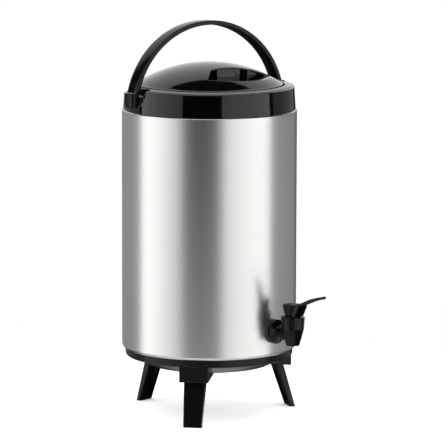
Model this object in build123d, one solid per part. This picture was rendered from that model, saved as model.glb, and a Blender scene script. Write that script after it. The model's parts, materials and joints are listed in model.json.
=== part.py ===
from build123d import *

import os
from math import atan2, cos, radians, sin, sqrt, tan

# Insulated beverage dispenser: a double-walled steel drum on three splayed legs, with a domed
# twist-lock lid that has a grip scooped into it, an arched carrying handle and a self-closing
# lever tap. Sizes are in millimetres.
#
# Frame: +Z up, origin on the floor under the drum's axis. The tap faces -Y. An azimuth is
# counted in degrees from the tap, anticlockwise seen from above, so 90 is +X.

# Clearances
SEAT_GAP = 0.2          # between pieces that rest on or in each other
MOVING_GAP = 0.4        # between pieces that pass each other
PIVOT_GAP = 0.05        # radial, a pin in its bore

# Drum
DRUM_RADIUS = 134.0     # outside of the steel shell
DRUM_HEIGHT = 369.0     # steel shell, edge to edge
SHELL_WALL = 0.8
SHELL_HEM_RADIUS = 5.0  # rolled lower edge of the shell
SHELL_HEM_WIDTH = 9.0   # flat lip turned in under the drum
SHELL_LIP = 2.6         # rolled lip at the shell's top, from its outer face inwards
SHELL_LIP_RADIUS = 1.6
INSULATION = 24.2       # foam space between shell and liner
LINER_WALL = 0.8
LINER_CORNER = 8.0
LINER_FLOOR_RISE = 14.0  # liner's underside above the shell's lower edge
LINER_LIP = 4.0         # width of the liner's flange

# Base and legs
RIDE_HEIGHT = 90.0      # floor to the lower edge of the base rim
BASE_RIM_HEIGHT = 12.0
BASE_INSET = 4.5        # top of the base rim inside the shell's face
BASE_TAPER = 0.8        # how much smaller the rim's lower edge is
BASE_ROUNDING = 3.0
BASE_WALL = 3.0
BASE_STEP = 5.0         # width of the rim's flat underside
PAN_DROP = 14.0         # pan's flat floor below the rim
PAN_INSET = 36.5        # edge of the pan's flat floor inside the rim
PAN_ROUNDING = 10.0
LEG_COUNT = 3
FIRST_LEG_AZIMUTH = -58.0
BRACKET_INSET = 1.5     # a bracket's outer face inside the rim
BRACKET_LENGTH = 80.0   # outer face to its inner end, where it meets the pan's floor
BRACKET_WIDTH = 45.0
BRACKET_DROP = 23.0     # its lowest edge below the rim
BRACKET_LAP = 2.0       # its outer face above the rim's lower edge
BRACKET_ROUNDING = 1.5
LEG_TOP_WIDTH = 35.0    # at the top of the tenon
LEG_TOP_DEPTH = 12.0
LEG_FOOT_WIDTH = 28.5
LEG_FOOT_DEPTH = 8.5
LEG_CORNER = 2.0
LEG_SPLAY = 18.0        # degrees from upright
LEG_SET_IN = 16.0       # bracket's face to the middle of the leg where it enters
LEG_SOCKET_DEPTH = 13.0
LEG_WALL = 3.0          # round the hollow in a leg's inner face
LEG_HOLLOW_LOW = 6.0
LEG_HOLLOW_HIGH = 58.0
LEG_SCREW_RADIUS = 2.0
LEG_SCREW_HEAD_RADIUS = 4.0
LEG_SCREW_HEAD_HEIGHT = 2.6
LEG_SCREW_LENGTH = 22.0
SCREW_BOSS_RADIUS = 6.0
SCREW_BOSS_RISE = 1.0   # boss top above the rim's lower edge

# Top collar
COLLAR_HEIGHT = 38.4
COLLAR_INSET = 0.8      # foot of the collar inside the shell's face
COLLAR_TAPER = 2.2      # how much smaller its top outer edge is
COLLAR_SHOULDER = 1.6   # rounding of the top outer edge
COLLAR_SHOULDER_DROP = 3.4  # top face falls this much towards its outer edge
COLLAR_SPIGOT = 10.0    # depth pushed into the shell
COLLAR_WALL = 3.4
COLLAR_CORE_TOP = 15.0  # moulded hollow, above the shell's edge
CORE_ROUNDING = 2.0     # top corners of that hollow
WELL_EDGE = 1.0         # rounding of the lid well's top edge
LEDGE_WIDTH = 6.0       # liner's seat, from the liner out to the lid well
LEDGE_HEIGHT = 21.4     # liner's seat, above the shell's edge

# Bayonet between collar and lid
LUG_COUNT = 3
LUG_SPAN = 20.0         # degrees
LUG_REACH = 2.8
LUG_HEIGHT = 3.6
LUG_TOP_DROP = 3.0      # collar lug below the collar's top
LUG_AZIMUTH = 10.0

# Carrying handle
HANDLE_AZIMUTH = 80.0   # of the right-hand pivot
HANDLE_SETBACK = 9.7    # pivot line behind the drum's axis
HANDLE_LEAN = 2.6       # degrees, towards the back, as it stands
PIVOT_HEIGHT = 21.0     # above the shell's edge
ARCH_STANDOFF = 8.8     # collar's foot to the middle of the band, at the arch's widest
ARCH_HEIGHT = 131.2     # shell's edge to the middle of the band at its top
BAND_THICKNESS = 5.8
BAND_WIDTH = 21.5
BAND_EDGE = 1.6         # rounding of the band's edges
EAR_RADIUS = 12.0       # round lower half of the ear at each end
EAR_TOP = 11.5          # its flat top above the pivot
EAR_CORNER = 3.0
EAR_EDGE = 2.2          # rounding of its outer face's edge
EAR_STANDOFF = 1.0      # its inner face from the collar's foot
EAR_PROUD = 5.6         # its outer face beyond the band
PIN_RADIUS = 4.0
PIN_DEPTH = 9.0         # how far the pin runs into the collar
PIN_REACH = 8.5         # and how far into the ear
PIN_CHAMFER = 0.8

# Lid
DOME_RADIUS = 208.0
LID_EDGE_GAP = 2.5      # lid's edge to the collar
LID_EDGE_WIDTH = 4.5    # rounded edge, outside the crown
CROWN_FOOT_RISE = 2.1   # where the crown meets that edge, above the collar's top
LID_EDGE_RISE = -1.0    # lower corner of the lid's edge, from the collar's top
LID_EDGE_HEIGHT = 1.2
LID_WALL = 2.5
SKIRT_INSET = 1.3       # skirt inside the lid's edge
SKIRT_DROP = 10.5       # skirt's lower edge below the collar's top
PLUG_CLEARANCE = 1.6    # lid plug to liner
PLUG_DEPTH = 22.0
PLUG_WALL = 2.2
PLUG_CORNER = 6.0
PLUG_FLANGE = 2.4
SEAL_WIDTH = 3.6
LID_SCREW_COUNT = 4
LID_SCREW_INSET = 22.6  # screws inside the plug's wall
LID_SCREW_RADIUS = 2.0
LID_SCREW_HEAD_RADIUS = 4.0
LID_SCREW_HEAD_HEIGHT = 2.2
LID_SCREW_LENGTH = 14.0
LID_BOSS_RADIUS = 5.0

# Lid's grip: a scoop in the dome, with a straight wall that has finger hollows in it
GRIP_AZIMUTH = -13.9
GRIP_WALL = 42.0        # lid's axis to the scoop's wall
GRIP_LEFT = 25.0        # left end of that wall, from its middle
GRIP_FLARE = 41.8       # degrees, left side of the scoop from square to the wall
GRIP_DROP = 18.9        # scoop's floor below the crown, at the middle of the wall
GRIP_TILT = 2.2         # degrees, floor falls to the right
GRIP_FALL = 1.7         # degrees, floor falls towards the front
GRIP_CORNER = 2.5       # rounding between the wall and the left side
HOLLOW_ROOF = 2.2       # dome's thickness over the hollows
HOLLOW_DEPTH = 10.0
HOLLOW_START = 0.7      # first hollow from the wall's left end
POCKET_WIDTH = 10.9     # hollow at the left end
PANEL_WIDTH = 33.6      # sloping panel in the middle of the wall
PANEL_LEAN = 3.2        # how far the panel leans back at its top
NOTCH_WIDTH = 20.8      # hollow beside the panel
POST_WIDTH = 3.6        # upright between that hollow and the last
SIDE_WIDTH = 27.0       # last hollow, which runs out with the wall

# Tap, with heights counted from the shank's axis
TAP_HEIGHT = 39.0       # shank's axis above the shell's lower edge
TAP_STANDOFF = 38.0     # drum's face to the axis of the tap's barrel
SHANK_RADIUS = 10.0
SHANK_BORE = 6.5
SHANK_INSIDE = 15.0     # shank length inside the liner
TAP_WASHER_RADIUS = 18.1
TAP_WASHER_THICKNESS = 3.5
FLANGE_RADIUS = 18.6
FLANGE_EDGE = 1.2
FLANGE_THICKNESS = 3.5
FLANGE_CONE = 5.0
NECK_RADIUS = 11.0
NECK_ROUNDING = 2.0
NUT_ACROSS_FLATS = 28.0
NUT_THICKNESS = 8.0
BARREL_TOP = 27.0
BARREL_RADIUS = 18.3
BARREL_EDGE = 0.8
BARREL_WAIST = 9.5
BARREL_WAIST_RADIUS = 17.2
BARREL_THROAT = -6.0
BARREL_THROAT_RADIUS = 13.4
BARREL_BEND = 12.0      # rounding at waist and throat
SPOUT_LOW = -17.0
SPOUT_RADIUS = 10.4
SPOUT_EDGE = 1.0
OUTLET_RADIUS = 5.0
CHAMBER_RADIUS = 9.0
CHAMBER_FLOOR = -9.5
BONNET_RADIUS = 15.2
BONNET_SEAT = 15.0
BONNET_RIM = 26.4
BONNET_NECK_RADIUS = 12.4
BONNET_TOP = 28.5
BONNET_EDGE = 1.0
STEM_RADIUS = 3.0
STEM_HEAD_WIDTH = 9.0
STEM_HEAD_LENGTH = 9.0
STEM_HEAD_LOW = 29.5
STEM_HEAD_TOP = 40.5
STEM_HEAD_ROUNDING = 1.5
CUP_RADIUS = 7.4
CUP_THICKNESS = 4.7
CUP_NECK_RADIUS = 5.5
CUP_NECK = 4.0
CUP_EDGE = 1.0
STEM_SOCKET = 6.0
LEVER_PIN_HEIGHT = 35.5
LEVER_PIN_RADIUS = 2.0
HUB_FOOT_RADIUS = 12.0
HUB_HEAD_RADIUS = 16.2
HUB_TOP = 45.4
HUB_ROUNDING = 1.0
GUSSET_FOOT = 12.2      # barrel axis to the gusset's front, at the hub's foot
GUSSET_REACH = 20.0     # and under the blade
GUSSET_WIDTH = 21.0
FORK_MOUTH = 11.6       # opening between the gusset's cheeks
FORK_ROOT = 3.0         # barrel axis to the back of that opening
FORK_TOP = 41.5
LEVER_SLOT_LENGTH = 15.0
LEVER_SLOT_TOP = 42.6
BLADE_LENGTH = 61.7     # barrel axis to the tip
BLADE_KNEE = 13.0       # barrel axis to the start of its climb
BLADE_KNEE_RISE = 2.2
BLADE_CLIMB = 34.0      # barrel axis to the middle of its climb
BLADE_CLIMB_RISE = 10.8
BLADE_RISE = 19.4       # top of the tip above the hub
BLADE_ROOT_RISE = 0.4
BLADE_THICKNESS = 4.0
BLADE_WIDTH = 18.0
BLADE_TIP = 7.0

# Levels and radii worked out from the sizes above
SHELL_BOTTOM = RIDE_HEIGHT + BASE_RIM_HEIGHT
SHELL_TOP = SHELL_BOTTOM + DRUM_HEIGHT
SHELL_BORE = DRUM_RADIUS - SHELL_WALL
SHELL_MOUTH = DRUM_RADIUS - SHELL_LIP
LINER_OUTER = SHELL_BORE - INSULATION
LINER_BORE = LINER_OUTER - LINER_WALL
LINER_BOTTOM = SHELL_BOTTOM + LINER_FLOOR_RISE
COLLAR_TOP = SHELL_TOP + COLLAR_HEIGHT
COLLAR_BOTTOM = SHELL_TOP - COLLAR_SPIGOT
LEDGE_TOP = SHELL_TOP + LEDGE_HEIGHT
LINER_TOP = LEDGE_TOP + LINER_WALL
COLLAR_FOOT_RADIUS = DRUM_RADIUS - COLLAR_INSET
COLLAR_TOP_RADIUS = COLLAR_FOOT_RADIUS - COLLAR_TAPER
LID_WELL_RADIUS = LINER_OUTER + LEDGE_WIDTH
PIVOT_Z = SHELL_TOP + PIVOT_HEIGHT
ARCH_HALF_WIDTH = COLLAR_FOOT_RADIUS + ARCH_STANDOFF
BAND_OUTSIDE = ARCH_HALF_WIDTH + BAND_THICKNESS / 2
BAND_CROWN = ARCH_HEIGHT + BAND_THICKNESS / 2
EAR_FACE = COLLAR_FOOT_RADIUS + EAR_STANDOFF
EAR_END = BAND_OUTSIDE * sqrt(1 - (PIVOT_HEIGHT / BAND_CROWN) ** 2) + EAR_PROUD
LID_RADIUS = LID_WELL_RADIUS - LID_EDGE_GAP
SKIRT_RADIUS = LID_RADIUS - SKIRT_INSET
DOME_BREAK = LID_RADIUS - LID_EDGE_WIDTH
DOME_RISE = CROWN_FOOT_RISE + DOME_RADIUS - sqrt(DOME_RADIUS**2 - DOME_BREAK**2)
CROWN_TOP = COLLAR_TOP + DOME_RISE
DOME_CENTRE = CROWN_TOP - DOME_RADIUS
LID_EDGE_LOW = COLLAR_TOP + LID_EDGE_RISE
SKIRT_BOTTOM = COLLAR_TOP - SKIRT_DROP
PLUG_RADIUS = LINER_BORE - PLUG_CLEARANCE
PLUG_BOTTOM = SKIRT_BOTTOM - SEAT_GAP - PLUG_DEPTH
LID_SCREW_CIRCLE = PLUG_RADIUS - LID_SCREW_INSET
GRIP_FLOOR = CROWN_TOP - GRIP_DROP
POCKET_START = HOLLOW_START - GRIP_LEFT
PANEL_START = POCKET_START + POCKET_WIDTH
NOTCH_START = PANEL_START + PANEL_WIDTH
SIDE_START = NOTCH_START + NOTCH_WIDTH + POST_WIDTH
BASE_RADIUS = DRUM_RADIUS - BASE_INSET
PAN_RADIUS = BASE_RADIUS - PAN_INSET
BRACKET_FACE = BASE_RADIUS - BRACKET_INSET
BRACKET_ROOT = BRACKET_FACE - BRACKET_LENGTH
BRACKET_BOTTOM = RIDE_HEIGHT - BRACKET_DROP
LEG_FOOT_RADIUS = BRACKET_FACE - LEG_SET_IN + BRACKET_BOTTOM * tan(radians(LEG_SPLAY))
LEG_TOP = BRACKET_BOTTOM + LEG_SOCKET_DEPTH
PAN_FLOOR = RIDE_HEIGHT - PAN_DROP
SCREW_SEAT = RIDE_HEIGHT + SCREW_BOSS_RISE
TAP_Z = SHELL_BOTTOM + TAP_HEIGHT
TAP_REACH = DRUM_RADIUS + TAP_STANDOFF
LEVER_FOOT = BONNET_TOP + MOVING_GAP
LEG_AZIMUTHS = [FIRST_LEG_AZIMUTH + 360.0 / LEG_COUNT * i for i in range(LEG_COUNT)]
LEG_NAMES = ["leg_front_left", "leg_front_right", "leg_back"]


def outline(*corners):
    """Closed face through corners given as (x, y) or (x, y, radius)."""
    points = [Vector(corner[0], corner[1]) for corner in corners]
    bends = []
    for index, corner in enumerate(corners):
        point = points[index]
        radius = corner[2] if len(corner) > 2 else 0.0
        if radius == 0.0:
            bends.append((point, None, point))
            continue
        back = (points[index - 1] - point).normalized()
        ahead = (points[(index + 1) % len(points)] - point).normalized()
        half = radians(back.get_angle(ahead)) / 2
        reach = radius / tan(half)
        middle = point + (back + ahead).normalized() * (radius / sin(half) - radius)
        bends.append((point + back * reach, middle, point + ahead * reach))
    edges = []
    for index, (entry, middle, leave) in enumerate(bends):
        if middle is not None:
            edges.append(ThreePointArc(entry, middle, leave))
        following = bends[(index + 1) % len(bends)][0]
        if (following - leave).length > 1e-6:
            edges.append(Line(leave, following))
    return make_face(edges)


def turned(*corners):
    """Solid of revolution about Z, from corners given as (radius, height) or with a rounding."""
    return revolve(Plane.XZ * outline(*corners), Axis.Z)


def facing(azimuth):
    """Turn a piece built towards -Y to its azimuth."""
    return Rot(0, 0, azimuth)


def rod(radius, start, end):
    """Round rod between two points."""
    line = Vector(*end) - Vector(*start)
    plane = Plane(origin=start, z_dir=line)
    return extrude(plane * Circle(radius), line.length)


def sector(inner, outer, low, high, azimuth, span):
    """Part of a ring, centred on an azimuth."""
    ring = turned((inner, low), (outer, low), (outer, high), (inner, high))
    reach = 2 * outer
    side = reach * tan(radians(span / 2))
    wedge = Pos(0, 0, low) * extrude(outline((0, 0), (side, -reach), (-side, -reach)), high - low)
    return facing(azimuth) * (ring & wedge)


# Drum

def tap_hole(radius):
    """Round cutter along the tap's shank, from the drum's axis outwards."""
    return rod(radius, (0, 0, TAP_Z), (0, -TAP_REACH, TAP_Z))


def outer_shell():
    """Rolled steel shell with its lower edge hemmed in and a rolled lip at its top."""
    hem = DRUM_RADIUS - SHELL_HEM_WIDTH
    shell = turned(
        (SHELL_MOUTH, SHELL_TOP),
        (DRUM_RADIUS, SHELL_TOP, SHELL_LIP_RADIUS),
        (DRUM_RADIUS, SHELL_BOTTOM, SHELL_HEM_RADIUS),
        (hem, SHELL_BOTTOM),
        (hem, SHELL_BOTTOM + SHELL_WALL),
        (SHELL_BORE, SHELL_BOTTOM + SHELL_WALL, SHELL_HEM_RADIUS - SHELL_WALL),
        (SHELL_BORE, SHELL_TOP - SHELL_WALL, SHELL_LIP_RADIUS - SHELL_WALL),
        (SHELL_MOUTH, SHELL_TOP - SHELL_WALL),
    )
    return shell - tap_hole(SHANK_RADIUS + SEAT_GAP)


def inner_liner():
    """Deep-drawn pot that holds the drink, with a flange at its mouth."""
    lip = LINER_OUTER + LINER_LIP
    liner = turned(
        (0, LINER_BOTTOM),
        (LINER_OUTER, LINER_BOTTOM, LINER_CORNER),
        (LINER_OUTER, LEDGE_TOP),
        (lip, LEDGE_TOP),
        (lip, LINER_TOP),
        (LINER_BORE, LINER_TOP),
        (LINER_BORE, LINER_BOTTOM + LINER_WALL, LINER_CORNER - LINER_WALL),
        (0, LINER_BOTTOM + LINER_WALL),
    )
    return liner - tap_hole(SHANK_RADIUS + SEAT_GAP)


def foam_jacket():
    """Insulating foam between the shell and the liner."""
    low = SHELL_BOTTOM + SHELL_WALL + SEAT_GAP
    high = COLLAR_BOTTOM - SEAT_GAP
    outer = SHELL_BORE - SEAT_GAP
    inner = LINER_OUTER + SEAT_GAP
    jacket = turned(
        (0, low),
        (outer - SHELL_HEM_RADIUS, low),
        (outer, low + SHELL_HEM_RADIUS),
        (outer, high),
        (inner, high),
        (inner, LINER_BOTTOM - SEAT_GAP, LINER_CORNER + SEAT_GAP),
        (0, LINER_BOTTOM - SEAT_GAP),
    )
    return jacket - tap_hole(SHANK_RADIUS + SEAT_GAP)


# Top collar and handle

def handle_frame():
    """Place of the handle: pivot line along X, set back from the drum's axis."""
    return Rot(0, 0, HANDLE_AZIMUTH - 90) * Pos(0, HANDLE_SETBACK, PIVOT_Z)


def top_collar():
    """Moulded ring that joins shell and liner, with bayonet lugs and two pivot pads."""
    spigot = SHELL_MOUTH - SEAT_GAP
    throat = LINER_OUTER + SEAT_GAP
    core_top = SHELL_TOP + COLLAR_CORE_TOP
    collar = turned(
        (throat, COLLAR_BOTTOM),
        (throat + COLLAR_WALL, COLLAR_BOTTOM),
        (throat + COLLAR_WALL, core_top, CORE_ROUNDING),
        (spigot - COLLAR_WALL, core_top, CORE_ROUNDING),
        (spigot - COLLAR_WALL, COLLAR_BOTTOM),
        (spigot, COLLAR_BOTTOM),
        (spigot, SHELL_TOP),
        (COLLAR_FOOT_RADIUS, SHELL_TOP),
        (COLLAR_TOP_RADIUS, COLLAR_TOP - COLLAR_SHOULDER_DROP, COLLAR_SHOULDER),
        (LID_WELL_RADIUS, COLLAR_TOP, WELL_EDGE),
        (LID_WELL_RADIUS, LEDGE_TOP),
        (throat, LEDGE_TOP),
    )
    lug_top = COLLAR_TOP - LUG_TOP_DROP
    for index in range(LUG_COUNT):
        azimuth = LUG_AZIMUTH + 360.0 / LUG_COUNT * index
        inner = LID_WELL_RADIUS - LUG_REACH
        root = LID_WELL_RADIUS + WELL_EDGE
        collar += sector(inner, root, lug_top - LUG_HEIGHT, lug_top, azimuth, LUG_SPAN)
    for side in (-1, 1):
        pad_face = side * (EAR_FACE - MOVING_GAP)
        pad_root = side * (LID_WELL_RADIUS + COLLAR_WALL)
        collar += handle_frame() * rod(EAR_RADIUS, (pad_root, 0, 0), (pad_face, 0, 0))
        bore_end = side * (EAR_FACE - PIN_DEPTH)
        collar -= handle_frame() * rod(PIN_RADIUS, (bore_end, 0, 0), (side * EAR_FACE, 0, 0))
    return collar


def ear(side):
    """Block at one end of the band: round below, flat on top, with a rounded outer edge."""
    upper = outline(
        (-EAR_RADIUS, 0),
        (EAR_RADIUS, 0),
        (EAR_RADIUS, EAR_TOP, EAR_CORNER),
        (-EAR_RADIUS, EAR_TOP, EAR_CORNER),
    )
    plane = Plane(origin=(side * EAR_FACE, 0, 0), x_dir=(0, side, 0), z_dir=(side, 0, 0))
    block = extrude(plane * (upper + Circle(EAR_RADIUS)), EAR_END - EAR_FACE)
    outer = block.faces().sort_by(Axis.X)[-1 if side > 0 else 0]
    return fillet(outer.edges(), EAR_EDGE)


def carry_handle():
    """Arched band with an ear at each end, bored from inside for its pin."""
    band = Ellipse(BAND_OUTSIDE, BAND_CROWN)
    band -= Ellipse(BAND_OUTSIDE - BAND_THICKNESS, BAND_CROWN - BAND_THICKNESS)
    reach = 2 * BAND_OUTSIDE
    band &= Pos(0, PIVOT_HEIGHT + reach / 2) * Rectangle(2 * reach, reach)
    arch = extrude(Plane.XZ * Pos(0, -PIVOT_HEIGHT) * band, BAND_WIDTH / 2, both=True)
    arch = fillet(arch.edges().filter_by(GeomType.ELLIPSE), BAND_EDGE)
    for side in (-1, 1):
        bore_end = side * (EAR_FACE + PIN_REACH + SEAT_GAP)
        arch += ear(side)
        arch -= rod(PIN_RADIUS + PIVOT_GAP, (side * (EAR_FACE - MOVING_GAP), 0, 0), (bore_end, 0, 0))
    return handle_frame() * Rot(-HANDLE_LEAN, 0, 0) * arch


def pivot_pin(side):
    """Stub pin, pressed into the collar, that one ear of the handle snaps over."""
    end = side * (EAR_FACE + PIN_REACH)
    pin = rod(PIN_RADIUS, (side * (EAR_FACE - PIN_DEPTH), 0, 0), (end, 0, 0))
    rim = pin.edges().filter_by(GeomType.CIRCLE).sort_by(Axis.X)[-1 if side > 0 else 0]
    return handle_frame() * chamfer(rim, PIN_CHAMFER)


# Base and legs

def leg_slice(height, side=0.0, front=0.0, back=0.0):
    """Outline of a leg at a height, with its sides moved in by the given amounts."""
    share = height / LEG_TOP
    width = LEG_FOOT_WIDTH + (LEG_TOP_WIDTH - LEG_FOOT_WIDTH) * share - 2 * side
    depth = LEG_FOOT_DEPTH + (LEG_TOP_DEPTH - LEG_FOOT_DEPTH) * share - front - back
    middle = height * tan(radians(LEG_SPLAY)) - LEG_FOOT_RADIUS + (front - back) / 2
    return Pos(0, middle, height) * RectangleRounded(width, depth, LEG_CORNER)


def leg_screw_axis():
    """Distance from the drum's axis to a leg's screw, in the middle of the tenon."""
    return LEG_FOOT_RADIUS - (LEG_TOP - LEG_SOCKET_DEPTH / 2) * tan(radians(LEG_SPLAY))


def leg():
    """Tapered leg with a hollow inner face and a screw hole in its tenon, built towards -Y."""
    screw = leg_screw_axis()
    hole_end = SCREW_SEAT - LEG_SCREW_LENGTH - SEAT_GAP
    solid = loft([leg_slice(0), leg_slice(LEG_TOP)])
    levels = (LEG_HOLLOW_LOW, LEG_HOLLOW_HIGH)
    solid -= loft([leg_slice(height, LEG_WALL, LEG_WALL, -LEG_WALL) for height in levels])
    return solid - rod(LEG_SCREW_RADIUS, (0, -screw, hole_end), (0, -screw, LEG_TOP + 1))


def leg_screws():
    """One screw down through the pan into each leg."""
    screw = leg_screw_axis()
    head_top = SCREW_SEAT + LEG_SCREW_HEAD_HEIGHT
    one = rod(LEG_SCREW_RADIUS, (0, -screw, SCREW_SEAT - LEG_SCREW_LENGTH), (0, -screw, SCREW_SEAT))
    one += rod(LEG_SCREW_HEAD_RADIUS, (0, -screw, SCREW_SEAT), (0, -screw, head_top))
    return Compound(children=[facing(azimuth) * one for azimuth in LEG_AZIMUTHS])


def bracket():
    """Wedge-shaped arm under the pan that takes a leg, built towards -Y."""
    side = outline(
        (-BRACKET_FACE, RIDE_HEIGHT + BRACKET_LAP),
        (-BRACKET_FACE, BRACKET_BOTTOM, BRACKET_ROUNDING),
        (-BRACKET_ROOT, PAN_FLOOR + SEAT_GAP),
        (-BRACKET_ROOT, RIDE_HEIGHT + BRACKET_LAP),
    )
    block = extrude(Plane.YZ * side, BRACKET_WIDTH / 2, both=True)
    corners = block.edges().filter_by(Axis.Z).sort_by(Axis.Y)[:2]
    return fillet(corners, BRACKET_ROUNDING)


def base_pan():
    """Moulded pan that closes the drum's bottom, with a socket arm for each leg."""
    low_radius = BASE_RADIUS - BASE_TAPER
    step = low_radius - BASE_STEP
    lean = BASE_WALL * tan(atan2(PAN_DROP, step - PAN_RADIUS) / 2)
    inside = [
        (BASE_RADIUS - BASE_TAPER - BASE_WALL, RIDE_HEIGHT + BASE_WALL),
        (step - lean, RIDE_HEIGHT + BASE_WALL),
        (PAN_RADIUS - lean, PAN_FLOOR + BASE_WALL, PAN_ROUNDING),
        (0, PAN_FLOOR + BASE_WALL),
    ]
    wall_top = (inside[0][0], SHELL_BOTTOM)
    pan = turned(
        (0, PAN_FLOOR),
        (PAN_RADIUS, PAN_FLOOR, PAN_ROUNDING),
        (step, RIDE_HEIGHT),
        (low_radius, RIDE_HEIGHT, BASE_ROUNDING),
        (BASE_RADIUS, SHELL_BOTTOM),
        wall_top,
        *inside,
    )
    bowl = turned(wall_top, *inside, (0, SHELL_BOTTOM))
    screw = leg_screw_axis()
    gap = SEAT_GAP
    socket = loft([leg_slice(height, -gap, -gap, -gap) for height in (0, LEG_TOP + gap)])
    hole = rod(LEG_SCREW_RADIUS + gap, (0, -screw, BRACKET_BOTTOM), (0, -screw, SHELL_BOTTOM))
    boss = rod(SCREW_BOSS_RADIUS, (0, -screw, LEG_TOP), (0, -screw, SCREW_SEAT))
    for azimuth in LEG_AZIMUTHS:
        pan += facing(azimuth) * (bracket() - bowl + boss)
        pan -= facing(azimuth) * (socket + hole)
    return pan


# Lid

def dome_solid(radius):
    """Full round body under the crown, of the crown's radius or one inside it."""
    ball = Pos(0, 0, DOME_CENTRE) * Sphere(radius)
    return ball & rod(LID_RADIUS, (0, 0, SKIRT_BOTTOM), (0, 0, CROWN_TOP))


def lid_screw_points():
    """Places of the lid's screws, between the bayonet lugs."""
    step = 360.0 / LID_SCREW_COUNT
    for index in range(LID_SCREW_COUNT):
        turn = radians(GRIP_AZIMUTH + step * (index + 0.5))
        yield LID_SCREW_CIRCLE * sin(turn), -LID_SCREW_CIRCLE * cos(turn)


def grip_room(left, right, depth):
    """Upright room that goes into the scoop's wall by a depth, built towards -Y."""
    front, back = -GRIP_WALL - GRIP_CORNER, -GRIP_WALL + depth
    plan = outline((left, front), (right, front), (right, back), (left, back))
    return Pos(0, 0, SKIRT_BOTTOM) * extrude(plan, CROWN_TOP - SKIRT_BOTTOM + LID_WALL)


def above_scoop(sink=0.0):
    """Space above the scoop's floor, or above a plane that lies deeper."""
    reach = 2 * LID_RADIUS
    normal = (tan(radians(GRIP_TILT)), -tan(radians(GRIP_FALL)), 1)
    floor = Plane(origin=(0, -GRIP_WALL, GRIP_FLOOR - sink), z_dir=normal)
    return floor.location * Pos(0, 0, reach / 2) * Box(2 * reach, 2 * reach, reach)


def scoop(grow=0.0):
    """The finger scoop, or a room that is larger all round, built towards -Y."""
    reach = 2 * LID_RADIUS
    flare = radians(GRIP_FLARE)
    left = -GRIP_LEFT - grow * (cos(flare) - (1 - sin(flare)) * tan(flare))
    back = grow - GRIP_WALL
    plan = outline(
        (left, back, GRIP_CORNER + grow),
        (left - reach * tan(flare), back - reach),
        (reach, back - reach),
        (reach, back),
    )
    prism = Pos(0, 0, SKIRT_BOTTOM) * extrude(plan, CROWN_TOP - SKIRT_BOTTOM + LID_WALL)
    return prism & above_scoop(grow)


def finger_hollows():
    """Three hollows and a sloping panel in the scoop's wall, built towards -Y."""
    roof = Pos(0, 0, DOME_CENTRE) * Sphere(DOME_RADIUS - HOLLOW_ROOF)
    rooms = grip_room(POCKET_START, PANEL_START, HOLLOW_DEPTH)
    rooms += grip_room(NOTCH_START, NOTCH_START + NOTCH_WIDTH, HOLLOW_DEPTH)
    rooms += grip_room(SIDE_START, SIDE_START + SIDE_WIDTH, HOLLOW_DEPTH)
    low, high = GRIP_FLOOR - LID_WALL, CROWN_TOP
    lean = PANEL_LEAN / GRIP_DROP * (high - low)
    front = -GRIP_WALL - GRIP_CORNER
    slope = outline((front, low), (-GRIP_WALL, low), (-GRIP_WALL + lean, high), (front, high))
    rooms += Pos(PANEL_START, 0, 0) * extrude(Plane.YZ * slope, PANEL_WIDTH)
    return rooms & roof & above_scoop()


def grip_moulding(gap=0.0):
    """The scoop and its hollows with the lid's wall thickness round them, built towards -Y."""
    wall = LID_WALL + gap
    behind = grip_room(-GRIP_LEFT - wall, SIDE_START + SIDE_WIDTH + wall, HOLLOW_DEPTH + wall)
    return scoop(wall) + (behind & above_scoop(wall))


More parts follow.
